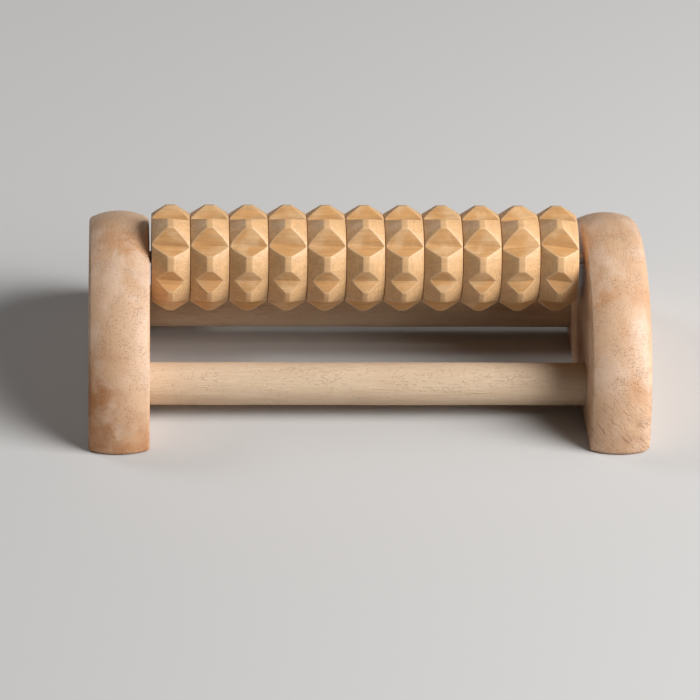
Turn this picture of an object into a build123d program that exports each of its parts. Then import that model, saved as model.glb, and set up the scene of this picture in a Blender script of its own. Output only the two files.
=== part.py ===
from build123d import *
from math import cos, radians, sin, tan
import os

# Foot massage roller: eleven notched wooden rings turn freely on a steel axle between two
# half-round wooden side plates, which two round rails hold apart.
# +X runs along the roller to the right, +Y to the back, +Z up.  The origin lies on the surface
# that the plates stand on, midway between them and midway along their bases.

# ---------------------------------------------------------------- driving dimensions (mm)
overall_length = 190.0        # over the outer faces of the two side plates
plate_radius = 56.0           # height of a side plate, and half the length of its base
plate_thickness = 20.7
plate_crown = 2.6             # how far the rim bulges at mid thickness
plate_edge_round = 4.0        # rounding between the rim and the side faces
plate_base_round = 1.2        # rounding round the base

rail_diameter = 14.8
rail_height = 11.1            # centre of a rail above the base
rail_spacing = 54.0           # front rail centre to rear rail centre
rail_seat_depth = 10.0        # how deep a rail goes into a plate
rail_end_chamfer = 0.8

axle_diameter = 4.0
axle_height = 45.4
axle_seat_depth = 12.0
axle_end_chamfer = 0.5

ring_count = 11
ring_pitch = 13.23            # from one ring to the next along the axle
ring_gap = 0.2                # air between neighbouring rings
left_end_gap = 0.6            # air between the left plate and the first ring; the rest is at the right
ring_crest_radius = 18.3      # over the teeth
ring_crest_width = 2.1        # flat along the top of a tooth
ring_rim_radius = 15.45       # where a flank ends at the side face
ring_rim_chamfer = 0.35
ring_bore_chamfer = 0.4

notch_count = 8
notch_slope = 21.0            # degrees between a notch's face and the ring's local tangent
deep_valley_radius = 15.4
shallow_valley_radius = 16.3
first_notch_angle = 0.5       # degrees up from the front horizontal; this notch is the shallow one

glue_clearance = 0.05         # radial, rails and axle in the plates
seat_end_clearance = 0.4      # between the end of a rail or of the axle and its hole's bottom
running_clearance = 0.08      # radial, rings on the axle

# ---------------------------------------------------------------- worked out from them
inner_face = overall_length / 2 - plate_thickness
ring_width = ring_pitch - ring_gap
first_ring_centre = -inner_face + left_end_gap + ring_width / 2
rail_radius = rail_diameter / 2
axle_radius = axle_diameter / 2
bore_radius = axle_radius + running_clearance
rail_length = 2 * (inner_face + rail_seat_depth - seat_end_clearance)
axle_length = 2 * (inner_face + axle_seat_depth - seat_end_clearance)
rail_places = {"front_rail": -rail_spacing / 2, "rear_rail": rail_spacing / 2}

PARTS_FOLDER = "parts"


def write_piece(piece, label):
    """Label a finished piece and write it as the node of the same name."""
    piece.part.label = label
    export_step(piece.part, f"{PARTS_FOLDER}/{label}.step")


def build_side_plate(label, side):
    """Half-round plate with a crowned rim and blind seats; side is -1 at the left, 1 at the right."""
    half = plate_thickness / 2
    shoulder = plate_radius - plate_crown
    with BuildPart() as plate:
        with BuildSketch(Plane(origin=(side * (inner_face + half), 0, 0))) as section:
            with BuildLine():
                Polyline((-half, shoulder), (-half, 0), (half, 0), (half, shoulder))
                ThreePointArc((half, shoulder), (0, plate_radius), (-half, shoulder))
            make_face()
            fillet(section.vertices().group_by(Axis.Y)[-1], plate_edge_round)
        revolve(axis=Axis.X, revolution_arc=180)
        base = plate.faces().sort_by(Axis.Z)[0]
        fillet(base.edges(), plate_base_round)
        for rail_y in rail_places.values():
            with Locations(Plane(origin=(side * inner_face, rail_y, rail_height), z_dir=(-side, 0, 0))):
                Hole(rail_radius + glue_clearance, rail_seat_depth)
        with Locations(Plane(origin=(side * inner_face, 0, axle_height), z_dir=(-side, 0, 0))):
            Hole(axle_radius + glue_clearance, axle_seat_depth)
    write_piece(plate, label)


def build_rod(label, radius, length, y, z, end_chamfer):
    """Round rod along X, centred between the plates, with chamfered ends."""
    with BuildPart() as rod:
        with BuildSketch(Plane(origin=(-length / 2, y, z), z_dir=(1, 0, 0))):
            Circle(radius)
        extrude(amount=length)
        chamfer(rod.edges().filter_by(GeomType.CIRCLE), end_chamfer)
    write_piece(rod, label)


def build_ring(label, centre):
    """Ring turned to a crest with sloping flanks, then cut across by V notches."""
    half = ring_width / 2
    crest_half = ring_crest_width / 2
    with BuildPart() as ring:
        with BuildSketch(Plane(origin=(centre, 0, axle_height), x_dir=(1, 0, 0), z_dir=(0, -1, 0))):
            Polygon(
                (-half + ring_bore_chamfer, bore_radius),
                (half - ring_bore_chamfer, bore_radius),
                (half, bore_radius + ring_bore_chamfer),
                (half, ring_rim_radius - ring_rim_chamfer),
                (half - ring_rim_chamfer, ring_rim_radius),
                (crest_half, ring_crest_radius),
                (-crest_half, ring_crest_radius),
                (-half + ring_rim_chamfer, ring_rim_radius),
                (-half, ring_rim_radius - ring_rim_chamfer),
                (-half, bore_radius + ring_bore_chamfer),
                align=None,
            )
        revolve(axis=Axis((centre, 0, axle_height), (1, 0, 0)))
        for notch in range(notch_count):
            angle = radians(first_notch_angle + notch * 360 / notch_count)
            outward = (0, -cos(angle), sin(angle))
            valley = shallow_valley_radius if notch == 0 else deep_valley_radius
            mouth = ring_crest_radius + 1
            mouth_half = (mouth - valley) / tan(radians(notch_slope))
            with BuildSketch(Plane(origin=(centre, 0, axle_height), x_dir=outward, z_dir=(1, 0, 0))):
                Polygon((valley, 0), (mouth, mouth_half), (mouth, -mouth_half), align=None)
            extrude(amount=ring_width, both=True, mode=Mode.SUBTRACT)
    write_piece(ring, label)


os.makedirs(PARTS_FOLDER, exist_ok=True)
build_side_plate("left_side_plate", -1)
build_side_plate("right_side_plate", 1)
for rail_label, rail_y in rail_places.items():
    build_rod(rail_label, rail_radius, rail_length, rail_y, rail_height, rail_end_chamfer)
build_rod("axle", axle_radius, axle_length, 0, axle_height, axle_end_chamfer)
for number in range(ring_count):
    build_ring(f"ring_{number + 1:02d}", first_ring_centre + number * ring_pitch)
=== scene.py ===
import math
import random

import bpy
from mathutils import Matrix, Vector


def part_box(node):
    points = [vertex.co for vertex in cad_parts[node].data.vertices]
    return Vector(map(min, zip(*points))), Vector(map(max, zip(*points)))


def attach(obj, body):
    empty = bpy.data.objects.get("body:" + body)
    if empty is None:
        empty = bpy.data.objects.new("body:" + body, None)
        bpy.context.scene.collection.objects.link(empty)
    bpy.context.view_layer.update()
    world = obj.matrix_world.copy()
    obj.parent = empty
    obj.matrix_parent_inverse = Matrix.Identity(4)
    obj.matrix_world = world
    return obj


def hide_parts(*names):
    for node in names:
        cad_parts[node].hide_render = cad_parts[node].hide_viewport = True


bl_info = {
    "name": "Wooden foot roller",
    "version": (1, 0, 0),
    "blender": (4, 5, 0),
    "location": "3D View > Sidebar > Foot roller",
    "description": "Builds the finished wooden pieces of a foot massage roller round its CAD frame",
    "category": "Object",
}

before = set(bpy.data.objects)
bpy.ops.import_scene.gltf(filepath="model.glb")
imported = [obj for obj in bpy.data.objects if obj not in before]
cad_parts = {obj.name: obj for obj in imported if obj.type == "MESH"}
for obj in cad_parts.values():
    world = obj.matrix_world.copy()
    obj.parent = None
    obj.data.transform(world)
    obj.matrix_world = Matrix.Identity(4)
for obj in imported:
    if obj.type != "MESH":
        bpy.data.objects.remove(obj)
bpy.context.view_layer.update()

MM = 0.001
FRAME_BODY = "frame"
RING_NODES = sorted(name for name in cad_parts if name.startswith("ring_"))


def node_centre(node):
    """Middle of a CAD node's box."""
    low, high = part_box(node)
    return (low + high) / 2


def node_size(node):
    """Lengths of a CAD node's box."""
    low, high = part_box(node)
    return high - low


AXLE_CENTRE = node_centre("axle")
AXLE_RADIUS = node_size("axle").z / 2
RING_WIDTH = node_size(RING_NODES[0]).x
PLATE_SIZE = node_size("left_side_plate")
INNER_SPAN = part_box("right_side_plate")[0].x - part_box("left_side_plate")[1].x

# room between the end of a rail or of the axle and the bottom of its hole
SEAT_END = 0.4 * MM
MERGE_DISTANCE = 0.002 * MM

# how finely each shape is divided
TOOTH_STEPS = 8
PLATE_STEPS = 110
SIDE_STEPS = 7
SHOULDER_STEPS = 7
CROWN_STEPS = 6
SEAT_SIDES = 98
RAIL_STEPS = 60
RAIL_SIDES = 64
AXLE_SIDES = 48

# edges that fold by more than SHARP_ANGLE are rounded, and less than SMOOTH_ANGLE are shaded smooth
SHARP_ANGLE = math.radians(14)
SMOOTH_ANGLE = math.radians(30)

# what makes each ring a little different: the seed, its turn on the axle, and its place in the grain
RING_SEED = 11
RING_WANDER_DEGREES = 0.4
GRAIN_SHIFT = Vector((0.21, 0.037, 0))

# a ring's faces are told apart by how far their normals point sideways and off the radius
FLANK_SIDEWAYS = (0.2, 0.9)
NOTCH_SIDEWAYS = 0.1
NOTCH_OFF_RADIUS = 0.01
OUTSIDE_PART = 0.9

# size of the clouds that make hand-sanded wood uneven
PLATE_CLOUDS = 0.022
RAIL_CLOUDS = 0.018
REAR_RAIL_TURN = 2.0

# stage: the floor lies just below the plates' feet
FLOOR_HEIGHT = -0.05 * MM
FLOOR_SIZE = 8
LIGHT_AIM = (0, 0, 0.03)
LIGHTS = (
    # name, place, size, power
    ("key", (1.2, -0.54, 0.95), 1.1, 46),
    ("back_left", (-0.75, 0.52, 0.82), 0.35, 2.8),
)
SURROUNDINGS = (1.0, 0.97, 0.94, 1)
SURROUNDINGS_STRENGTH = 0.05
SENSOR_WIDTH = 36
VIEW_END = 20


# ---------------------------------------------------------------- settings
class RingSettings(bpy.types.PropertyGroup):
    """Sizes and colours of the notched rings."""
    crest_radius: bpy.props.FloatProperty(
        name="Crest radius", description="Radius over the teeth", default=18.3 * MM, unit="LENGTH")
    crest_width: bpy.props.FloatProperty(
        name="Crest width", description="Flat along the top of a tooth", default=2.1 * MM, unit="LENGTH")
    rim_radius: bpy.props.FloatProperty(
        name="Rim radius", description="Where a flank meets the side", default=15.0 * MM, unit="LENGTH")
    bore_clearance: bpy.props.FloatProperty(
        name="Bore clearance", description="Air round the axle", default=0.08 * MM, unit="LENGTH")
    deep_valley: bpy.props.FloatProperty(
        name="Deep valley", description="Radius of a deep notch's floor", default=14.95 * MM, unit="LENGTH")
    shallow_valley: bpy.props.FloatProperty(
        name="Shallow valley", description="Radius of the shallow notch's floor", default=16.06 * MM,
        unit="LENGTH")
    deep_half: bpy.props.FloatProperty(
        name="Deep half angle", description="From a deep notch's middle to the crest's end",
        default=math.radians(16.6), subtype="ANGLE")
    shallow_half: bpy.props.FloatProperty(
        name="Shallow half angle", description="From the shallow notch's middle to the crest's end",
        default=math.radians(12.7), subtype="ANGLE")
    deep_lean: bpy.props.FloatProperty(
        name="Deep lean", description="How far a deep valley sits below its notch's middle",
        default=math.radians(2.6), subtype="ANGLE")
    shallow_lean: bpy.props.FloatProperty(
        name="Shallow lean", description="How far the shallow valley sits below its notch's middle",
        default=math.radians(1.2), subtype="ANGLE")
    first_notch: bpy.props.FloatProperty(
        name="First notch", description="The shallow notch, up from the front", default=math.radians(0.5),
        subtype="ANGLE")
    notches: bpy.props.IntProperty(name="Notches", description="Notches round a ring", default=8)
    crest_drops: bpy.props.FloatVectorProperty(
        name="Crest drops", description="How much lower each tooth's crest is, from the shallow notch up",
        size=8, unit="LENGTH",
        default=[drop * MM for drop in (0.03, 0.0, 0.3, 0.15, 0.05, 0.1, 0.08, -0.12)])
    notch_leans: bpy.props.FloatVectorProperty(
        name="Notch leans", description="Slant of each ring's notches against the axle", size=11,
        subtype="EULER",
        default=[math.radians(lean) for lean in (
            4.7, 1.2, -0.8, 0.6, -1.1, 0.9, -0.4, 1.4, -1.2, -5.6, 7.9)])
    edge_round: bpy.props.FloatProperty(
        name="Edge round", description="Rubbed rounding of every edge", default=0.3 * MM, unit="LENGTH")
    honey: bpy.props.FloatVectorProperty(
        name="Honey", description="Lacquered wood of the notch faces", subtype="COLOR", size=4,
        default=(0.59, 0.312, 0.122, 1))
    pale: bpy.props.FloatVectorProperty(
        name="Pale", description="Turned wood of crest and flanks", subtype="COLOR", size=4,
        default=(0.68, 0.425, 0.215, 1))
    # Painted highlight: a lighter colour laid on the rings' rounded edges
    painted_edge_highlight: bpy.props.FloatVectorProperty(
        name="Rubbed", description="Edges where the lacquer is thin", subtype="COLOR", size=4,
        default=(0.80, 0.57, 0.36, 1))


class PlateSettings(bpy.types.PropertyGroup):
    """Sizes and colours of the side plates."""
    crown: bpy.props.FloatProperty(
        name="Crown", description="How far the rim bulges", default=2.6 * MM, unit="LENGTH")
    left_edge_rounds: bpy.props.FloatVectorProperty(
        name="Left plate's edges", description="Rounding of the rim's outer and inner edge", size=2,
        default=(1.7 * MM, 1.8 * MM), unit="LENGTH")
    right_edge_rounds: bpy.props.FloatVectorProperty(
        name="Right plate's edges", description="Rounding of the rim's outer and inner edge", size=2,
        default=(4.4 * MM, 1.3 * MM), unit="LENGTH")
    base_round: bpy.props.FloatProperty(
        name="Base round", description="Rounding round the base", default=1.2 * MM, unit="LENGTH")
    unevenness: bpy.props.FloatProperty(
        name="Unevenness", description="How much the hand sanding took off in places", default=0.14 * MM,
        unit="LENGTH")
    beige: bpy.props.FloatVectorProperty(
        name="Beige", description="Main colour of the sanded wood", subtype="COLOR", size=4,
        default=(0.64, 0.41, 0.255, 1))
    orange: bpy.props.FloatVectorProperty(
        name="Orange", description="Warm patches", subtype="COLOR", size=4, default=(0.57, 0.30, 0.15, 1))
    chalky: bpy.props.FloatVectorProperty(
        name="Chalky", description="Dry pinkish patches", subtype="COLOR", size=4,
        default=(0.72, 0.52, 0.385, 1))
    pore: bpy.props.FloatVectorProperty(
        name="Pore", description="Dark pores and end grain", subtype="COLOR", size=4,
        default=(0.27, 0.14, 0.075, 1))
    # Painted shade: a darker, more orange colour laid low on the plates' rims, most on the left plate
    painted_low_shade: bpy.props.FloatVectorProperty(
        name="Low shade", description="Low end grain that took up more finish", subtype="COLOR", size=4,
        default=(0.46, 0.185, 0.06, 1))


class RailSettings(bpy.types.PropertyGroup):
    """Sizes and colours of the rails and the axle."""
    unevenness: bpy.props.FloatProperty(
        name="Unevenness", description="How much the dowel is out of round", default=0.2 * MM,
        unit="LENGTH")
    axle_chamfer: bpy.props.FloatProperty(
        name="Axle chamfer", description="Chamfer round the axle's ends", default=0.5 * MM, unit="LENGTH")
    end_chamfer: bpy.props.FloatProperty(
        name="End chamfer", description="Chamfer round a rail's ends", default=0.8 * MM, unit="LENGTH")
    seat_clearance: bpy.props.FloatProperty(
        name="Seat clearance", description="Glue gap round a rail or the axle in its hole",
        default=0.05 * MM, unit="LENGTH")
    dark_steel: bpy.props.FloatVectorProperty(
        name="Dark steel", description="Drawn lines on the axle", subtype="COLOR", size=4,
        default=(0.60, 0.60, 0.61, 1))
    bright_steel: bpy.props.FloatVectorProperty(
        name="Bright steel", description="Axle between its drawn lines", subtype="COLOR", size=4,
        default=(0.82, 0.82, 0.83, 1))
    straw: bpy.props.FloatVectorProperty(
        name="Straw", description="Dry unfinished dowel", subtype="COLOR", size=4,
        default=(0.70, 0.525, 0.365, 1))
    shade: bpy.props.FloatVectorProperty(
        name="Shade", description="Darker grain of the dowel", subtype="COLOR", size=4,
        default=(0.56, 0.385, 0.245, 1))


class StageSettings(bpy.types.PropertyGroup):
    """Camera, floor and lights."""
    azimuth: bpy.props.FloatProperty(
        name="Azimuth", description="Turn of the view to the right", default=math.radians(3.856),
        subtype="ANGLE")
    elevation: bpy.props.FloatProperty(
        name="Elevation", description="Height of the view", default=math.radians(29.97), subtype="ANGLE")
    roll: bpy.props.FloatProperty(
        name="Roll", description="Tilt of the camera about its own line", default=math.radians(2.0),
        subtype="ANGLE")
    distance: bpy.props.FloatProperty(
        name="Distance", description="Camera to target", default=1.3894, unit="LENGTH")
    target: bpy.props.FloatVectorProperty(
        name="Target", description="Point in the middle of the view", default=(-0.00455, 0, 0.00875),
        unit="LENGTH")
    lens: bpy.props.FloatProperty(name="Lens", description="Focal length in millimetres", default=205.7)
    floor: bpy.props.FloatVectorProperty(
        name="Floor", description="Plain pale floor", subtype="COLOR", size=4,
        default=(0.56, 0.55, 0.54, 1))


# ---------------------------------------------------------------- modelling helpers
def start_fresh():
    """Leave edit mode and deselect everything, the CAD nodes included."""
    if bpy.context.object and bpy.context.object.mode != "OBJECT":
        bpy.ops.object.mode_set(mode="OBJECT")
    bpy.ops.object.select_all(action="DESELECT")


def make_active(piece):
    """Select one object alone and make it active."""
    start_fresh()
    piece.select_set(True)
    bpy.context.view_layer.objects.active = piece


def draw_outline(name, points):
    """New object holding a chain of edges, drawn by extruding one vertex from point to point."""
    start_fresh()
    bpy.ops.mesh.primitive_plane_add(size=MM)
    piece = bpy.context.object
    piece.name = name
    bpy.ops.object.mode_set(mode="EDIT")
    bpy.ops.mesh.merge(type="CENTER")
    bpy.ops.transform.translate(value=points[0])
    for before, after in zip(points, points[1:]):
        bpy.ops.mesh.extrude_region_move(TRANSFORM_OT_translate={"value": Vector(after) - Vector(before)})
    return piece


def outward(angle):
    """Unit vector square to the X axis, at an angle from the front up and over to the back."""
    return Vector((0, -math.cos(angle), math.sin(angle)))


def section_point(along, radius, angle=0.0):
    """Point of a turned section, at a place along X and a radius."""
    return outward(angle) * radius + Vector((along, 0, 0))


def spin_over(steps, angle):
    """Sweep what is selected round the X axis, from the front up and over to the back."""
    bpy.ops.mesh.spin(steps=steps, angle=angle, center=(0, 0, 0), axis=(1, 0, 0))


def close_up():
    """Merge doubles and turn every face outwards, with the active mesh in edit mode."""
    bpy.ops.mesh.select_all(action="SELECT")
    bpy.ops.mesh.remove_doubles(threshold=MERGE_DISTANCE)
    bpy.ops.mesh.normals_make_consistent(inside=False)


def apply_modifier(piece, kind, **values):
    """Add a modifier, set it and apply it."""
    make_active(piece)
    modifier = piece.modifiers.new(kind.title(), kind)
    for key, value in values.items():
        setattr(modifier, key, value)
    bpy.ops.object.modifier_apply(modifier=modifier.name)


def copy_piece(piece, name):
    """Copy with a mesh of its own."""
    twin = piece.copy()
    twin.data = piece.data.copy()
    twin.name = name
    twin.data.name = name
    bpy.context.scene.collection.objects.link(twin)
    return twin


def join_pieces(pieces, name):
    """Join objects into the first of them."""
    start_fresh()
    for piece in pieces:
        piece.select_set(True)
    bpy.context.view_layer.objects.active = pieces[0]
    bpy.ops.object.join()
    pieces[0].name = name
    return pieces[0]


def settle(piece, place=(0, 0, 0), turn=0.0):
    """Turn a piece about X, move it to its place and write both into its mesh."""
    make_active(piece)
    piece.rotation_euler = (turn, 0, 0)
    piece.location = place
    bpy.ops.object.transform_apply(location=True, rotation=True, scale=True)


def remove_object(piece):
    """Delete a scratch object and its mesh."""
    mesh = piece.data
    bpy.data.objects.remove(piece)
    bpy.data.meshes.remove(mesh)


def finish_piece(piece, node, body, material):
    """Smooth, dress and hand over a finished piece that stands for a CAD node."""
    make_active(piece)
    bpy.ops.object.shade_smooth_by_angle(angle=SMOOTH_ANGLE)
    piece.data.materials.clear()
    piece.data.materials.append(material)
    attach(piece, body)
    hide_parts(node)
    start_fresh()


# ---------------------------------------------------------------- shader helpers
def new_group(name, inputs, outputs):
    """Empty shader group with named sockets; returns it with its input and output nodes."""
    group = bpy.data.node_groups.new(name, "ShaderNodeTree")
    for label, kind, default in inputs:
        socket = group.interface.new_socket(label, in_out="INPUT", socket_type=kind)
        if default is not None:
            socket.default_value = default
    for label, kind in outputs:
        group.interface.new_socket(label, in_out="OUTPUT", socket_type=kind)
    return group, group.nodes.new("NodeGroupInput"), group.nodes.new("NodeGroupOutput")


def math_node(tree, operation, first, second=None):
    """Math node fed by sockets or numbers; returns its output."""
    node = tree.nodes.new("ShaderNodeMath")
    node.operation = operation
    for index, value in enumerate((first, second)):
        if isinstance(value, bpy.types.NodeSocket):
            tree.links.new(value, node.inputs[index])
        elif value is not None:
            node.inputs[index].default_value = value
    return node.outputs[0]


def noise_node(tree, vector, scale, detail, roughness, distortion=0.0):
    """Noise value between about 0.3 and 0.7 at a vector."""
    node = tree.nodes.new("ShaderNodeTexNoise")
    tree.links.new(vector, node.inputs["Vector"])
    for label, value in (("Scale", scale), ("Detail", detail), ("Roughness", roughness),
                         ("Distortion", distortion)):
        if isinstance(value, bpy.types.NodeSocket):
            tree.links.new(value, node.inputs[label])
        else:
            node.inputs[label].default_value = value
    return node.outputs["Fac"]


def stretch_node(tree, vector, scale, rotation=(0, 0, 0)):
    """Vector scaled, and first turned, by a Mapping node."""
    node = tree.nodes.new("ShaderNodeMapping")
    node.vector_type = "TEXTURE" if any(rotation) else "POINT"
    tree.links.new(vector, node.inputs["Vector"])
    if any(rotation):
        node.inputs["Rotation"].default_value = rotation
        node.inputs["Scale"].default_value = [1 / part for part in scale]
    else:
        node.inputs["Scale"].default_value = scale
    return node.outputs[0]


def ramp_node(tree, value, low, high, to_low=0.0, to_high=1.0):
    """Smooth step of a value between two limits."""
    node = tree.nodes.new("ShaderNodeMapRange")
    node.interpolation_type = "SMOOTHSTEP"
    tree.links.new(value, node.inputs["Value"])
    for label, number in (("From Min", low), ("From Max", high), ("To Min", to_low),
                          ("To Max", to_high)):
        if isinstance(number, bpy.types.NodeSocket):
            tree.links.new(number, node.inputs[label])
        else:
            node.inputs[label].default_value = number
    return node.outputs[0]


def mix_node(tree, factor, first, second, blend="MIX"):
    """Colour mix; returns the colour socket."""
    node = tree.nodes.new("ShaderNodeMix")
    node.data_type = "RGBA"
    node.blend_type = blend
    for socket, value in ((node.inputs[0], factor), (node.inputs[6], first), (node.inputs[7], second)):
        if isinstance(value, bpy.types.NodeSocket):
            tree.links.new(value, socket)
        else:
            socket.default_value = value
    return node.outputs[2]


def attribute_node(tree, name, output="Fac"):
    """A mesh attribute, as a value or a vector."""
    node = tree.nodes.new("ShaderNodeAttribute")
    node.attribute_name = name
    return node.outputs[output]


def place_group(tree, group, **inputs):
    """Node group in a material, its inputs set or linked by name with _ for a space."""
    node = tree.nodes.new("ShaderNodeGroup")
    node.node_tree = group
    for label, value in inputs.items():
        socket = node.inputs[label.replace("_", " ")]
        if isinstance(value, bpy.types.NodeSocket):
            tree.links.new(value, socket)
        else:
            socket.default_value = value
    return node


def new_material(name, **shader_values):
    """Material with a Principled shader, its constants set on the shader's own sockets."""
    material = bpy.data.materials.new(name)
    material.use_nodes = True
    shader = material.node_tree.nodes["Principled BSDF"]
    for label, value in shader_values.items():
        shader.inputs[label.replace("_", " ")].default_value = value
    return material, material.node_tree, shader


def link_bump(tree, shader, height, distance):
    """Bump from a height in the material."""
    bump = tree.nodes.new("ShaderNodeBump")
    bump.inputs["Strength"].default_value = 1.0
    bump.inputs["Distance"].default_value = distance
    tree.links.new(height, bump.inputs["Height"])
    tree.links.new(bump.outputs["Normal"], shader.inputs["Normal"])


# ---------------------------------------------------------------- shared effects
def grain_group():
    """Wood grain: broad streaks and fine fibres, both drawn out along the vector's X."""
    group, source, result = new_group(
        "Wood grain",
        (("Vector", "NodeSocketVector", None), ("Streak size", "NodeSocketFloat", 500.0),
         ("Fibre size", "NodeSocketFloat", 2200.0), ("Wander", "NodeSocketFloat", 0.6)),
        (("Streaks", "NodeSocketFloat"), ("Fibres", "NodeSocketFloat")))
    along = stretch_node(group, source.outputs["Vector"], (0.07, 1, 1))
    streaks = noise_node(group, along, source.outputs["Streak size"], 4, 0.55, source.outputs["Wander"])
    finer = stretch_node(group, source.outputs["Vector"], (0.035, 1, 1))
    fibres = noise_node(group, finer, source.outputs["Fibre size"], 3, 0.6)
    group.links.new(ramp_node(group, streaks, 0.3, 0.7), result.inputs["Streaks"])
    group.links.new(ramp_node(group, fibres, 0.3, 0.7), result.inputs["Fibres"])
    return group


def patch_group():
    """Soft uneven patches, as where a finish has soaked in differently."""
    group, source, result = new_group(
        "Uneven patches",
        (("Vector", "NodeSocketVector", None), ("Size", "NodeSocketFloat", 60.0),
         ("Low", "NodeSocketFloat", 0.45), ("High", "NodeSocketFloat", 0.65)),
        (("Mask", "NodeSocketFloat"),))
    noise = noise_node(group, source.outputs["Vector"], source.outputs["Size"], 4, 0.55, 0.4)
    mask = ramp_node(group, noise, source.outputs["Low"], source.outputs["High"])
    group.links.new(mask, result.inputs["Mask"])
    return group


def pore_group():
    """Small scattered pores; the mask is 1 in a pore."""
    group, source, result = new_group(
        "Pores",
        (("Vector", "NodeSocketVector", None), ("Size", "NodeSocketFloat", 900.0),
         ("Spread", "NodeSocketFloat", 120.0), ("Threshold", "NodeSocketFloat", 0.62)),
        (("Mask", "NodeSocketFloat"),))
    specks = noise_node(group, source.outputs["Vector"], source.outputs["Size"], 2, 0.5)
    where = noise_node(group, source.outputs["Vector"], source.outputs["Spread"], 2, 0.5)
    raised = math_node(group, "ADD", specks, math_node(group, "MULTIPLY", where, 0.35))
    threshold = math_node(group, "ADD", source.outputs["Threshold"], 0.175)
    upper = math_node(group, "ADD", threshold, 0.08)
    group.links.new(ramp_node(group, raised, threshold, upper), result.inputs["Mask"])
    return group


def painted_edge_highlight_group():
    """Broken-up painted highlight along rounded edges."""
    group, source, result = new_group(
        "Painted edge highlights",
        (("Edge", "NodeSocketFloat", 0.0), ("Vector", "NodeSocketVector", None),
         ("Size", "NodeSocketFloat", 400.0), ("Keep", "NodeSocketFloat", 0.35)),
        (("Mask", "NodeSocketFloat"),))
    noise = noise_node(group, source.outputs["Vector"], source.outputs["Size"], 3, 0.6)
    broken = ramp_node(group, noise, 0.35, 0.6, source.outputs["Keep"], 1.0)
    mask = math_node(group, "MULTIPLY", source.outputs["Edge"], broken)
    group.links.new(mask, result.inputs["Mask"])
    return group


SHARED = {}


def shared_effect(name):
    """Shared effect group, built the first time it is asked for."""
    makers = {"grain": grain_group, "patches": patch_group, "pores": pore_group, "painted_edge_highlight": painted_edge_highlight_group}
    if name not in SHARED:
        SHARED[name] = makers[name]()
    return SHARED[name]


# ---------------------------------------------------------------- materials
def ring_wood():
    """Honey-lacquered rings: grain along the axle, fine turning lines round the flanks."""
    settings = bpy.context.scene.roller_rings
    material, tree, shader = new_material(
        "ring_wood", Coat_Weight=0.16, Coat_Roughness=0.3, Specular_IOR_Level=0.3)
    own = attribute_node(tree, "own_place", "Vector")
    flank = attribute_node(tree, "flank")
    grain = place_group(
        tree, shared_effect("grain"), Vector=own, Streak_size=620.0, Fibre_size=3200.0)
    patches = place_group(
        tree, shared_effect("patches"), Vector=own, Size=110.0, Low=0.42, High=0.66)
    painted_edge_highlight = place_group(tree, shared_effect("painted_edge_highlight"), Edge=attribute_node(tree, "edge"), Vector=own)
    turned = turning_lines(tree, own)

    notch = mix_node(tree, patches.outputs["Mask"], settings.honey, settings.pale)
    turned_wood = mix_node(tree, 0.25, settings.pale, settings.honey)
    colour = mix_node(tree, attribute_node(tree, "notch"), turned_wood, notch)
    streak_tone = ramp_node(tree, grain.outputs["Streaks"], 0, 1, 0.91, 1.03)
    fibre_tone = ramp_node(tree, grain.outputs["Fibres"], 0, 1, 0.93, 1.04)
    turned_tone = ramp_node(tree, turned, 0, 1, 0.88, 1.05)
    on_flank = math_node(tree, "MULTIPLY", turned_tone, flank)
    elsewhere = math_node(tree, "SUBTRACT", 1.0, flank)
    flank_tone = math_node(tree, "ADD", on_flank, elsewhere)
    grain_tone = math_node(tree, "MULTIPLY", streak_tone, fibre_tone)
    tone = math_node(tree, "MULTIPLY", grain_tone, flank_tone)
    grey = tree.nodes.new("ShaderNodeCombineColor")
    for socket in grey.inputs:
        tree.links.new(tone, socket)
    colour = mix_node(tree, 1.0, colour, grey.outputs[0], "MULTIPLY")
    # Painted highlight: the rounded edges lightened in broken patches
    highlight_amount = math_node(tree, "MULTIPLY", painted_edge_highlight.outputs["Mask"], 0.22)
    colour = mix_node(tree, highlight_amount, colour, settings.painted_edge_highlight)
    tree.links.new(colour, shader.inputs["Base Color"])

    rough = ramp_node(tree, grain.outputs["Streaks"], 0, 1, 0.50, 0.36)
    tree.links.new(rough, shader.inputs["Roughness"])
    fibre_height = math_node(tree, "MULTIPLY", grain.outputs["Fibres"], 0.5)
    turned_height = math_node(tree, "MULTIPLY", math_node(tree, "MULTIPLY", turned, flank), 0.7)
    height = math_node(tree, "ADD", fibre_height, turned_height)
    link_bump(tree, shader, height, 0.06 * MM)
    return material


def turning_lines(tree, own):
    """Fine lines round a ring: noise of the place along and out from the axle only."""
    parts = tree.nodes.new("ShaderNodeSeparateXYZ")
    tree.links.new(own, parts.inputs[0])
    squares = [
        math_node(tree, "MULTIPLY", parts.outputs[axis], parts.outputs[axis]) for axis in ("Y", "Z")]
    radius = math_node(tree, "SQRT", math_node(tree, "ADD", *squares))
    joined = tree.nodes.new("ShaderNodeCombineXYZ")
    tree.links.new(parts.outputs["X"], joined.inputs["X"])
    tree.links.new(radius, joined.inputs["Y"])
    tree.links.new(math_node(tree, "MULTIPLY", parts.outputs["Z"], 0.05), joined.inputs["Z"])
    noise = noise_node(tree, joined.outputs[0], 2600, 3, 0.6)
    return ramp_node(tree, noise, 0.32, 0.68)


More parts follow.
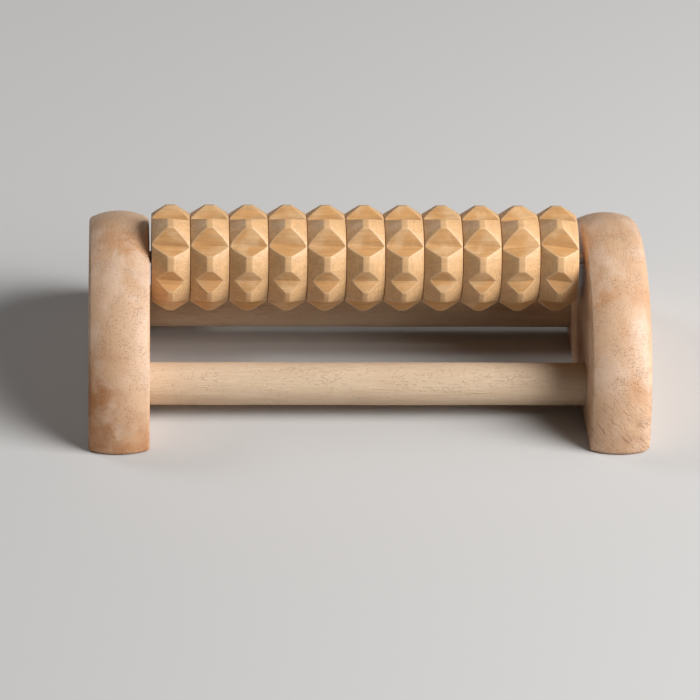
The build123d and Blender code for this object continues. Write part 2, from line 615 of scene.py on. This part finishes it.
def plate_wood():
    """Sanded plates: mottled beige with warm patches, pores, slanting layers of growth and painted shade
    low on the rims.
    """
    settings = bpy.context.scene.roller_plates
    material, tree, shader = new_material(
        "plate_wood", Coat_Weight=0.2, Coat_Roughness=0.33, Specular_IOR_Level=0.35)
    place = tree.nodes.new("ShaderNodeTexCoord").outputs["Object"]
    along = stretch_node(tree, place, (1, 1, 1), (0, 0, math.radians(90)))
    layered = stretch_node(tree, place, (1.0, 0.12, 0.22), (0, math.radians(-42), 0))
    squeezed = stretch_node(tree, place, (1.4, 1, 1))
    grain = place_group(
        tree, shared_effect("grain"), Vector=along, Streak_size=260.0, Fibre_size=1900.0)
    warm = place_group(
        tree, shared_effect("patches"), Vector=place, Size=42.0, Low=0.48, High=0.66)
    dry = place_group(
        tree, shared_effect("patches"), Vector=squeezed, Size=60.0, Low=0.50, High=0.66)
    pores = place_group(
        tree, shared_effect("pores"), Vector=place, Size=2300.0, Spread=130.0, Threshold=0.60)
    fuzz = noise_node(tree, place, 2400, 2, 0.7)
    layers = noise_node(tree, layered, 1300, 3, 0.65)
    slanting, painted_low_shade = low_rim_masks(tree, place)

    warm_mask = math_node(tree, "MULTIPLY", warm.outputs["Mask"], 0.85)
    colour = mix_node(tree, warm_mask, settings.beige, settings.orange)
    dry_mask = math_node(tree, "MULTIPLY", dry.outputs["Mask"], 0.65)
    colour = mix_node(tree, dry_mask, colour, settings.chalky)
    # Painted shade: the low rims, most on the left plate, darkened towards orange brown
    colour = mix_node(tree, painted_low_shade, colour, settings.painted_low_shade)
    between = math_node(tree, "SUBTRACT", 1.0, grain.outputs["Streaks"])
    streaks = math_node(tree, "MULTIPLY", between, 0.14)
    colour = mix_node(tree, streaks, colour, settings.pore)
    layer_mask = math_node(tree, "MULTIPLY", ramp_node(tree, layers, 0.50, 0.66), slanting)
    colour = mix_node(tree, math_node(tree, "MULTIPLY", layer_mask, 0.5), colour, settings.pore)
    colour = mix_node(tree, ramp_node(tree, fuzz, 0.5, 0.75, 0.0, 0.22), colour, settings.chalky)
    pore_mask = math_node(tree, "MULTIPLY", pores.outputs["Mask"], 0.45)
    colour = mix_node(tree, pore_mask, colour, settings.pore)
    tree.links.new(colour, shader.inputs["Base Color"])

    rough = ramp_node(tree, dry.outputs["Mask"], 0, 1, 0.44, 0.60)
    tree.links.new(rough, shader.inputs["Roughness"])
    raised = math_node(tree, "MULTIPLY", grain.outputs["Fibres"], 0.4)
    sunken = math_node(tree, "ADD", pores.outputs["Mask"], layer_mask)
    height = math_node(tree, "SUBTRACT", raised, sunken)
    link_bump(tree, shader, math_node(tree, "ADD", height, fuzz), 0.08 * MM)
    return material


def low_rim_masks(tree, place):
    """Masks low on the rims: slanting layers at the right, and painted shade, most at the left."""
    parts = tree.nodes.new("ShaderNodeSeparateXYZ")
    tree.links.new(place, parts.inputs[0])
    along, across, height = parts.outputs
    reach = math_node(tree, "ABSOLUTE", across)
    on_rim = ramp_node(tree, reach, 35 * MM, 50 * MM)
    low = ramp_node(tree, height, 30 * MM, 8 * MM)
    on_right = ramp_node(tree, along, 0.0, 50 * MM)
    slanting = math_node(tree, "MULTIPLY", math_node(tree, "MULTIPLY", on_rim, low), on_right)

    # Painted shade mask: low on the left plate's outer face and round the feet of both plates, most at the
    # left
    outside = ramp_node(tree, along, -79 * MM, -93 * MM)
    lower = ramp_node(tree, height, 50 * MM, 18 * MM, 0.25, 1.0)
    outside = math_node(tree, "MULTIPLY", outside, lower)
    foot = ramp_node(tree, height, 22 * MM, 2 * MM, 0.0, 0.75)
    most_at_left = ramp_node(tree, along, 20 * MM, -20 * MM, 0.4, 1.0)
    foot = math_node(tree, "MULTIPLY", foot, most_at_left)
    uneven = ramp_node(tree, noise_node(tree, place, 130, 4, 0.6), 0.38, 0.60, 0.25, 1.0)
    painted_low_shade = math_node(tree, "MAXIMUM", outside, foot)
    painted_low_shade = math_node(tree, "MULTIPLY", math_node(tree, "MULTIPLY", painted_low_shade, on_rim), uneven)
    return slanting, painted_low_shade


def rail_wood():
    """Dry dowels: pale, matt, with fine broken fibres along them."""
    settings = bpy.context.scene.roller_rails
    material, tree, shader = new_material("rail_wood", Roughness=0.72, Specular_IOR_Level=0.3)
    place = tree.nodes.new("ShaderNodeTexCoord").outputs["Object"]
    grain = place_group(
        tree, shared_effect("grain"), Vector=place, Streak_size=480.0, Fibre_size=2400.0)
    drawn_out = stretch_node(tree, place, (0.4, 1, 1))
    patches = place_group(
        tree, shared_effect("patches"), Vector=drawn_out, Size=90.0, Low=0.44, High=0.66)
    long_pores = stretch_node(tree, place, (0.35, 1, 1))
    pores = place_group(
        tree, shared_effect("pores"), Vector=long_pores, Size=1900.0, Spread=200.0, Threshold=0.60)
    fuzz = noise_node(tree, stretch_node(tree, place, (0.5, 1, 1)), 2200, 3, 0.7)

    between = math_node(tree, "SUBTRACT", 1.0, grain.outputs["Streaks"])
    colour = settings.straw
    for mask in (
        math_node(tree, "MULTIPLY", between, 0.28),
        math_node(tree, "MULTIPLY", patches.outputs["Mask"], 0.35),
        ramp_node(tree, fuzz, 0.45, 0.7, 0.0, 0.3),
        math_node(tree, "MULTIPLY", pores.outputs["Mask"], 0.35),
    ):
        colour = mix_node(tree, mask, colour, settings.shade)
    tree.links.new(colour, shader.inputs["Base Color"])

    raised = math_node(tree, "ADD", grain.outputs["Fibres"], fuzz)
    height = math_node(tree, "SUBTRACT", raised, pores.outputs["Mask"])
    link_bump(tree, shader, height, 0.10 * MM)
    return material


def axle_steel():
    """Drawn steel rod with fine lines along it."""
    settings = bpy.context.scene.roller_rails
    material, tree, shader = new_material("axle_steel", Metallic=0.75)
    place = tree.nodes.new("ShaderNodeTexCoord").outputs["Object"]
    drawn = noise_node(tree, stretch_node(tree, place, (0.02, 1, 1)), 4000, 3, 0.6)
    lines = ramp_node(tree, drawn, 0.3, 0.7)
    colour = mix_node(tree, lines, settings.dark_steel, settings.bright_steel)
    tree.links.new(colour, shader.inputs["Base Color"])
    tree.links.new(ramp_node(tree, drawn, 0.3, 0.7, 0.38, 0.55), shader.inputs["Roughness"])
    link_bump(tree, shader, drawn, 0.01 * MM)
    return material


# ---------------------------------------------------------------- rings
def ring_outline(settings, drop, angle):
    """Closed section of a turned ring, its crest lowered by drop, laid out at an angle."""
    half = RING_WIDTH / 2
    crest_half = settings.crest_width / 2
    run = (half - crest_half) / (settings.crest_radius - settings.rim_radius)
    crest_half += drop * run
    bore = AXLE_RADIUS + settings.bore_clearance
    corners = (
        (-half, bore),
        (-half, settings.rim_radius),
        (-crest_half, settings.crest_radius - drop),
        (crest_half, settings.crest_radius - drop),
        (half, settings.rim_radius),
        (half, bore),
        (-half, bore),
    )
    return [section_point(along, radius, angle) for along, radius in corners]


def notch_places(settings):
    """Centre, valley angle, valley radius and half angle of each notch, the shallow one at both ends."""
    places = []
    pitch = 2 * math.pi / settings.notches
    for number in range(settings.notches + 1):
        centre = settings.first_notch + number * pitch
        if number % settings.notches == 0:
            lean, valley, half = settings.shallow_lean, settings.shallow_valley, settings.shallow_half
        else:
            lean, valley, half = settings.deep_lean, settings.deep_valley, settings.deep_half
        places.append((centre, centre - lean, valley, half))
    return places


def cut_notch_face(settings, notch, side):
    """Cut a tooth down to one face of a notch, from its valley up to the crest, and close the cut."""
    centre, valley_angle, valley_radius, half_angle = notch
    valley = outward(valley_angle) * valley_radius
    crest = outward(centre + side * half_angle) * settings.crest_radius
    normal = Vector((1, 0, 0)).cross(crest - valley).normalized()
    if normal.dot(valley) < 0:
        normal.negate()
    bpy.ops.mesh.select_all(action="SELECT")
    bpy.ops.mesh.bisect(plane_co=valley, plane_no=normal, clear_outer=True)
    bpy.ops.mesh.edge_face_add()


def make_tooth(name, settings, before, after, drop):
    """One tooth: a slice of the turned ring from one valley to the next, cut by both notch faces."""
    start, end = before[1], after[1]
    tooth = draw_outline(name, ring_outline(settings, drop, start))
    bpy.ops.mesh.select_all(action="SELECT")
    spin_over(TOOTH_STEPS, end - start)
    close_up()
    cut_notch_face(settings, before, 1)
    cut_notch_face(settings, after, -1)
    bpy.ops.object.mode_set(mode="OBJECT")
    return tooth


def make_master_ring(settings):
    """Ring about the origin with its edges rounded and marked."""
    notches = notch_places(settings)
    teeth = []
    for number, drop in enumerate(settings.crest_drops):
        tooth = make_tooth(f"tooth_{number}", settings, notches[number], notches[number + 1], drop)
        teeth.append(tooth)
    ring = join_pieces(teeth, "master_ring")
    bpy.ops.object.mode_set(mode="EDIT")
    close_up()
    bpy.ops.object.mode_set(mode="OBJECT")
    for label in ("faces", "rounded"):
        ring.data.materials.append(bpy.data.materials.new(label))
    weigh_outer_edges(ring)
    apply_modifier(ring, "BEVEL", width=settings.edge_round, segments=3, limit_method="WEIGHT",
                   material=1, use_clamp_overlap=False)
    return ring


def weigh_outer_edges(piece):
    """Give a full bevel weight to the edges that stand out; creases in a valley get none."""
    mesh = piece.data
    faces_at = {}
    for face in mesh.polygons:
        for key in face.edge_keys:
            faces_at.setdefault(key, []).append(face)
    weights = mesh.attributes.new("bevel_weight_edge", "FLOAT", "EDGE")
    for edge in mesh.edges:
        first, second = faces_at[edge.key]
        folded = first.normal.dot(second.normal) < math.cos(SHARP_ANGLE)
        stands_out = (second.center - first.center).dot(first.normal) < 0
        weights.data[edge.index].value = float(folded and stands_out)


def mark_surfaces(ring, settings, seed):
    """Store what each face is, and each point's own place, for the ring's material."""
    mesh = ring.data
    for label in ("edge", "flank", "notch"):
        mesh.attributes.new(label, "FLOAT", "FACE")
    mesh.attributes.new("own_place", "FLOAT_VECTOR", "POINT")
    marks = mesh.attributes
    outside = settings.rim_radius * OUTSIDE_PART
    for face in mesh.polygons:
        radius = math.hypot(face.center.y, face.center.z)
        sideways = abs(face.normal.x)
        is_edge = face.material_index == 1
        upright = math.hypot(face.normal.y, face.normal.z) * radius
        along_radius = abs(face.normal.y * face.center.y + face.normal.z * face.center.z)
        off_radius = abs(upright - along_radius) / radius
        is_flank = FLANK_SIDEWAYS[0] < sideways < FLANK_SIDEWAYS[1] and radius > outside
        is_notch = sideways < NOTCH_SIDEWAYS and radius > outside and off_radius > NOTCH_OFF_RADIUS
        marks["edge"].data[face.index].value = float(is_edge)
        marks["flank"].data[face.index].value = float(is_flank and not is_edge)
        marks["notch"].data[face.index].value = float(is_notch and not is_edge)
        face.material_index = 0
    shift = GRAIN_SHIFT * seed
    for index, vertex in enumerate(mesh.vertices):
        marks["own_place"].data[index].vector = vertex.co + shift


def node_centre_on_axle(node):
    """Middle of a ring on the axle's line."""
    return Vector((node_centre(node).x, AXLE_CENTRE.y, AXLE_CENTRE.z))


class FOOTROLLER_OT_rings(bpy.types.Operator):
    """Turn, notch and place the rings"""
    bl_idname = "foot_roller.rings"
    bl_label = "Notched rings"

    def execute(self, context):
        settings = context.scene.roller_rings
        chance = random.Random(RING_SEED)
        material = ring_wood()
        master = make_master_ring(settings)
        for node, lean in zip(RING_NODES, settings.notch_leans):
            ring = copy_piece(master, f"{node}_turned")
            mark_surfaces(ring, settings, chance.random())
            twist = RING_WIDTH * math.tan(lean) / settings.shallow_valley
            apply_modifier(ring, "SIMPLE_DEFORM", deform_method="TWIST", deform_axis="X", angle=twist)
            turn = math.radians(chance.uniform(-RING_WANDER_DEGREES, RING_WANDER_DEGREES))
            settle(ring, node_centre_on_axle(node), turn)
            finish_piece(ring, node, node, material)
        remove_object(master)
        return {"FINISHED"}


# ---------------------------------------------------------------- plates
def plate_section(settings, edge_round):
    """Half of a plate's section: up one side, round its shoulder, to the top of the crown."""
    half = PLATE_SIZE.x / 2
    rim = PLATE_SIZE.z
    crown_radius = (half ** 2 + settings.crown ** 2) / (2 * settings.crown)
    crown_centre = rim - crown_radius
    inner = half - edge_round
    swing = crown_radius - edge_round
    shoulder_centre = crown_centre + math.sqrt(swing ** 2 - inner ** 2)
    meeting = math.asin(inner / swing)
    points = [(half, shoulder_centre * step / SIDE_STEPS) for step in range(SIDE_STEPS)]
    for step in range(SHOULDER_STEPS):
        angle = math.pi / 2 + (meeting - math.pi / 2) * step / SHOULDER_STEPS
        along = inner + edge_round * math.sin(angle)
        points.append((along, shoulder_centre + edge_round * math.cos(angle)))
    for step in range(CROWN_STEPS + 1):
        angle = meeting * (1 - step / CROWN_STEPS)
        points.append((crown_radius * math.sin(angle), crown_centre + crown_radius * math.cos(angle)))
    return points


def make_plate(name, settings, left_round, right_round):
    """Half-round plate about its middle, spun from its section, sanded uneven, its base rounded."""
    section = [(-along, radius) for along, radius in plate_section(settings, left_round)]
    section += plate_section(settings, right_round)[-2::-1]
    plate = draw_outline(name, [section_point(along, radius) for along, radius in section])
    bpy.ops.mesh.select_all(action="SELECT")
    spin_over(PLATE_STEPS, math.pi)
    close_up()
    bpy.ops.object.mode_set(mode="OBJECT")
    apply_modifier(plate, "DISPLACE", texture=sanding_texture(PLATE_CLOUDS), texture_coords="LOCAL",
                   mid_level=1.0, strength=settings.unevenness)
    bpy.ops.object.mode_set(mode="EDIT")
    bpy.ops.mesh.select_mode(type="VERT")
    bpy.ops.mesh.select_all(action="DESELECT")
    bpy.ops.mesh.select_non_manifold()
    bpy.ops.transform.resize(value=(1, 1, 0), center_override=(0, 0, 0))
    bpy.ops.mesh.edge_face_add()
    bpy.ops.mesh.bevel(offset=settings.base_round, segments=4, affect="EDGES")
    close_up()
    bpy.ops.object.mode_set(mode="OBJECT")
    return plate


def sanding_texture(size):
    """Soft clouds for hand-sanded unevenness."""
    texture = bpy.data.textures.new("sanding", "CLOUDS")
    texture.noise_scale = size
    texture.noise_depth = 1
    return texture


def cut_seat(plate, centre, radius, depth, side):
    """Bore a blind hole into a plate's inner face."""
    start_fresh()
    face = side * PLATE_SIZE.x / 2
    bpy.ops.mesh.primitive_cylinder_add(
        vertices=SEAT_SIDES, radius=radius, depth=2 * depth, location=(face, centre.y, centre.z),
        rotation=(0, math.pi / 2, 0))
    cutter = bpy.context.object
    apply_modifier(plate, "BOOLEAN", operation="DIFFERENCE", solver="EXACT", object=cutter)
    remove_object(cutter)


class FOOTROLLER_OT_plates(bpy.types.Operator):
    """Shape the two half-round side plates and bore their seats"""
    bl_idname = "foot_roller.plates"
    bl_label = "Side plates"

    def execute(self, context):
        settings = context.scene.roller_plates
        rails = context.scene.roller_rails
        material = plate_wood()
        left_outer, left_inner = settings.left_edge_rounds
        right_outer, right_inner = settings.right_edge_rounds
        for node, side, name, rounds in (
            ("left_side_plate", 1, "left_plate_sanded", (left_outer, left_inner)),
            ("right_side_plate", -1, "right_plate_sanded", (right_inner, right_outer)),
        ):
            plate = make_plate(name, settings, *rounds)
            for rod in ("front_rail", "rear_rail", "axle"):
                size = node_size(rod)
                seat = (size.x - INNER_SPAN) / 2 + SEAT_END
                cut_seat(plate, node_centre(rod), size.z / 2 + rails.seat_clearance, seat, side)
            centre = node_centre(node)
            settle(plate, (centre.x, centre.y, 0))
            finish_piece(plate, node, FRAME_BODY, material)
        return {"FINISHED"}


# ---------------------------------------------------------------- rails and axle
def turn_rod(name, radius, length, chamfer, steps, around):
    """Round rod about the origin along X, with chamfered ends and even steps along it."""
    half = length / 2
    points = [(-half, 0), (-half, radius - chamfer)]
    for step in range(steps + 1):
        points.append((-half + chamfer + (length - 2 * chamfer) * step / steps, radius))
    points += [(half, radius - chamfer), (half, 0)]
    rod = draw_outline(name, [section_point(along, at) for along, at in points])
    bpy.ops.mesh.select_all(action="SELECT")
    spin_over(around, 2 * math.pi)
    close_up()
    bpy.ops.object.mode_set(mode="OBJECT")
    return rod


class FOOTROLLER_OT_rails(bpy.types.Operator):
    """Turn the two rails"""
    bl_idname = "foot_roller.rails"
    bl_label = "Rails"

    def execute(self, context):
        settings = context.scene.roller_rails
        material = rail_wood()
        for node, turn in (("front_rail", 0.0), ("rear_rail", REAR_RAIL_TURN)):
            size = node_size(node)
            rail = turn_rod(
                f"{node}_dowel", size.z / 2, size.x, settings.end_chamfer, RAIL_STEPS, RAIL_SIDES)
            settle(rail, turn=turn)
            apply_modifier(rail, "DISPLACE", texture=sanding_texture(RAIL_CLOUDS),
                           texture_coords="LOCAL", mid_level=1.0, strength=settings.unevenness)
            settle(rail, node_centre(node))
            finish_piece(rail, node, FRAME_BODY, material)
        return {"FINISHED"}


class FOOTROLLER_OT_axle(bpy.types.Operator):
    """Turn the steel axle"""
    bl_idname = "foot_roller.axle"
    bl_label = "Axle"

    def execute(self, context):
        settings = context.scene.roller_rails
        rod = turn_rod(
            "axle_rod", AXLE_RADIUS, node_size("axle").x, settings.axle_chamfer, 1, AXLE_SIDES)
        settle(rod, AXLE_CENTRE)
        finish_piece(rod, "axle", FRAME_BODY, axle_steel())
        return {"FINISHED"}


# ---------------------------------------------------------------- stage
class FOOTROLLER_OT_stage(bpy.types.Operator):
    """Lay the floor and set the lights and the camera"""
    bl_idname = "foot_roller.stage"
    bl_label = "Stage"

    def execute(self, context):
        settings = context.scene.roller_stage
        lay_floor(settings)
        set_lights()
        set_camera(settings)
        return {"FINISHED"}


def lay_floor(settings):
    """Large plain floor at the plates' feet."""
    start_fresh()
    bpy.ops.mesh.primitive_plane_add(size=FLOOR_SIZE, location=(0, 0, FLOOR_HEIGHT))
    floor = bpy.context.object
    floor.name = "floor"
    material = new_material(
        "floor", Base_Color=settings.floor, Roughness=0.9, Specular_IOR_Level=0.2)[0]
    floor.data.materials.append(material)


def add_light(name, place, size, power):
    """Square area light aimed at the object."""
    data = bpy.data.lights.new(name, "AREA")
    data.size = size
    data.energy = power
    lamp = bpy.data.objects.new(name, data)
    bpy.context.scene.collection.objects.link(lamp)
    lamp.location = place
    lamp.rotation_euler = (Vector(LIGHT_AIM) - Vector(place)).to_track_quat("-Z", "Y").to_euler()


def set_lights():
    """Soft key from the upper right, weak light from behind at the left, faint warm surroundings."""
    for name, place, size, power in LIGHTS:
        add_light(name, place, size, power)
    world = bpy.data.worlds.new("studio")
    world.use_nodes = True
    background = world.node_tree.nodes["Background"]
    background.inputs["Color"].default_value = SURROUNDINGS
    background.inputs["Strength"].default_value = SURROUNDINGS_STRENGTH
    bpy.context.scene.world = world
    bpy.context.scene.view_settings.view_transform = "Standard"


def set_camera(settings):
    """Long-lens camera looking down on the front of the object."""
    turn, rise, roll = settings.azimuth, settings.elevation, settings.roll
    ahead = Vector((math.sin(turn) * math.cos(rise), math.cos(turn) * math.cos(rise), -math.sin(rise)))
    level = Vector((math.cos(turn), -math.sin(turn), 0))
    upright = level.cross(ahead)
    right = level * math.cos(roll) + upright * math.sin(roll)
    up = upright * math.cos(roll) - level * math.sin(roll)
    data = bpy.data.cameras.new("camera")
    data.lens = settings.lens
    data.sensor_width = SENSOR_WIDTH
    data.clip_end = VIEW_END
    camera = bpy.data.objects.new("camera", data)
    bpy.context.scene.collection.objects.link(camera)
    place = Vector(settings.target) - ahead * settings.distance
    camera.matrix_world = Matrix.Translation(place) @ Matrix((right, up, -ahead)).transposed().to_4x4()
    bpy.context.scene.camera = camera


SETTINGS = {
    "roller_rings": RingSettings,
    "roller_plates": PlateSettings,
    "roller_rails": RailSettings,
    "roller_stage": StageSettings,
}
OPERATORS = (FOOTROLLER_OT_rings, FOOTROLLER_OT_plates, FOOTROLLER_OT_rails, FOOTROLLER_OT_axle,
             FOOTROLLER_OT_stage)


class FOOTROLLER_PT_panel(bpy.types.Panel):
    """Lists the operators and their settings"""
    bl_idname = "FOOTROLLER_PT_panel"
    bl_label = "Foot roller"
    bl_space_type = "VIEW_3D"
    bl_region_type = "UI"
    bl_category = "Foot roller"

    def draw(self, context):
        for operator in OPERATORS:
            self.layout.operator(operator.bl_idname)
        for name, kind in SETTINGS.items():
            group = getattr(context.scene, name)
            box = self.layout.box()
            for item in kind.__annotations__:
                box.prop(group, item)


CLASSES = (*SETTINGS.values(), *OPERATORS, FOOTROLLER_PT_panel)


def register():
    """Register the classes and put the settings on the scene."""
    for item in CLASSES:
        bpy.utils.register_class(item)
    for name, kind in SETTINGS.items():
        setattr(bpy.types.Scene, name, bpy.props.PointerProperty(type=kind))


def unregister():
    """Take the settings off the scene and unregister the classes."""
    for name in SETTINGS:
        delattr(bpy.types.Scene, name)
    for item in reversed(CLASSES):
        bpy.utils.unregister_class(item)


def main():
    """Build every piece and the stage."""
    register()
    bpy.ops.foot_roller.plates()
    bpy.ops.foot_roller.rails()
    bpy.ops.foot_roller.axle()
    bpy.ops.foot_roller.rings()
    bpy.ops.foot_roller.stage()


if __name__ == "__main__":
    main()
